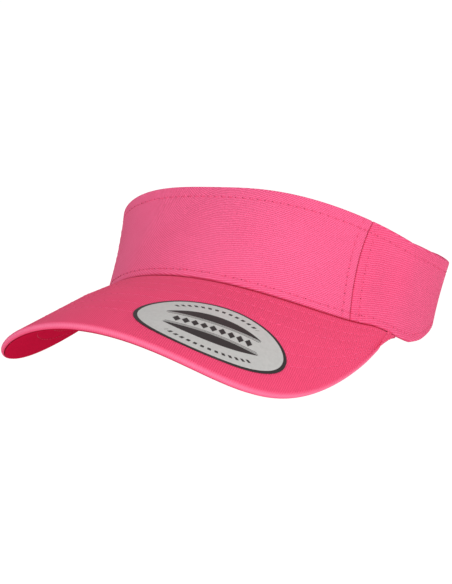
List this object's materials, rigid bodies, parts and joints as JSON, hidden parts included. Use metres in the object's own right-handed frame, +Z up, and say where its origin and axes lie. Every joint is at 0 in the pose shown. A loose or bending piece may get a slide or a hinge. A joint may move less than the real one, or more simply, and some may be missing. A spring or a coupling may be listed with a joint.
{
  "type": "sun visor",
  "caption": "Open-crown sun visor: a twill headband with a leaning forehead panel, a curved stiffened brim with an oval foil sticker, and a hook-and-loop strap at the back.",
  "frame": {"origin": "centre of the base of the visor's box, on the table it stands on", "axes": "+Z up; the brim points to -Y; the wearer's left is +X"},
  "size_m": [0.1698, 0.2679, 0.0765],
  "materials": {
    "twill": "matte cotton twill, bright pink",
    "under_twill": "matte cotton twill, the same pink deeper in its own shade",
    "lining": "plain pink cotton, matte",
    "sweatband_twill": "pink cotton twill, matte",
    "interlining": "stiff white buckram",
    "foam": "thin open foam",
    "label": "white satin ribbon, blank",
    "board": "white polyethylene board",
    "thread": "matching pink thread",
    "foil": "silver foil paper with a black edge",
    "loop_pile": "soft loop pile",
    "hooks": "moulded hook tape"
  },
  "bodies": {
    "visor": {"front_panel": "twill", "left_side_panel": "twill", "right_side_panel": "twill", "front_interlining": "interlining", "front_lining": "lining", "left_lining": "lining", "right_lining": "lining", "sweatband": "sweatband_twill", "sweatband_foam": "foam", "care_label": "label", "brim_board": "board", "brim_top_cover": "twill", "brim_under_cover": "under_twill", "brim_stitching": "thread", "top_edge_stitching": "thread", "base_stitching": "thread", "seam_stitching": "thread", "brim_sticker": "foil", "loop_strap": "twill", "loop_tape": "loop_pile"},
    "strap": {"hook_strap": "twill", "strap_stitching": "thread"},
    "tab": {"hook_tab": "twill", "hook_tape": "hooks", "tab_stitching": "thread"}
  },
  "joints": [
    {"name": "size_adjust", "type": "hinge", "parent": "visor", "child": "strap", "pos_m": [0, 0.0579, 0.0155], "axis": [0, 0, 1], "range_deg": [-8, 8]},
    {"name": "tab_peel", "type": "hinge", "parent": "strap", "child": "tab", "pos_m": [0.0175, 0.12809, 0.01578], "axis": [-0.0605, -0.2425, -0.9683], "range_deg": [0, 100]}
  ]
}
